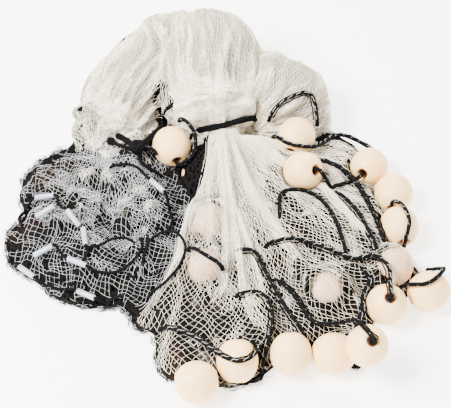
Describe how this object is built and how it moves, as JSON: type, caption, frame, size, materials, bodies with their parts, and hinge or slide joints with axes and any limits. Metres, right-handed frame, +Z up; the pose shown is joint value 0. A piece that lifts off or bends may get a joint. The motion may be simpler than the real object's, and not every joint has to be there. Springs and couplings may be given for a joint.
{
  "type": "seine fishing net, gathered and tied",
  "caption": "Small white seine net gathered in a heap, tied with black bands, with a black float line of cream barrel floats and a lead line of tube sinkers.",
  "frame": {"origin": "on the floor, under the middle of the whole heap's box", "axes": "+Z up from the floor, +Y towards the bunched bags at the back, +X to the right of someone who looks at the skirts from the front"},
  "size_m": [0.5612, 0.6022, 0.1402],
  "materials": {
    "netting": "knotted white nylon twine, fine diamond mesh",
    "float": "smooth cream moulded float, slightly satin",
    "rope": "black braided rope with white lashing",
    "band": "black cord, knotted",
    "sinker": "pale blue-grey cast lead tube, dull"
  },
  "bodies": {
    "root": {"float_01": "float", "float_02": "float", "float_03": "float", "float_04": "float", "float_05": "float", "float_06": "float", "float_07": "float", "float_08": "float", "float_09": "float", "float_10": "float", "float_11": "float", "float_12": "float", "float_13": "float", "float_14": "float", "float_15": "float", "float_16": "float", "float_17": "float", "float_18": "float", "float_line_01": "rope", "float_line_02": "rope", "float_line_03": "rope", "float_line_04": "rope", "float_line_05": "rope", "float_line_06": "rope", "float_line_07": "rope", "float_line_08": "rope", "float_line_09": "rope", "float_line_10": "rope", "float_line_11": "rope", "float_line_12": "rope", "float_line_13": "rope", "float_line_14": "rope", "float_line_15": "rope", "float_line_16": "rope", "lead_line_1": "rope", "lead_line_10": "rope", "lead_line_11": "rope", "lead_line_2": "rope", "lead_line_3": "rope", "lead_line_4": "rope", "lead_line_5": "rope", "lead_line_6": "rope", "lead_line_7": "rope", "lead_line_8": "rope", "lead_line_9": "rope", "netting": "netting", "sinker_1": "sinker", "sinker_2": "sinker", "sinker_3": "sinker", "sinker_4": "sinker", "sinker_5": "sinker", "sinker_6": "sinker", "sinker_7": "sinker", "sinker_8": "sinker", "sinker_9": "sinker", "tie_left": "band", "tie_right": "band"}
  },
  "joints": []
}
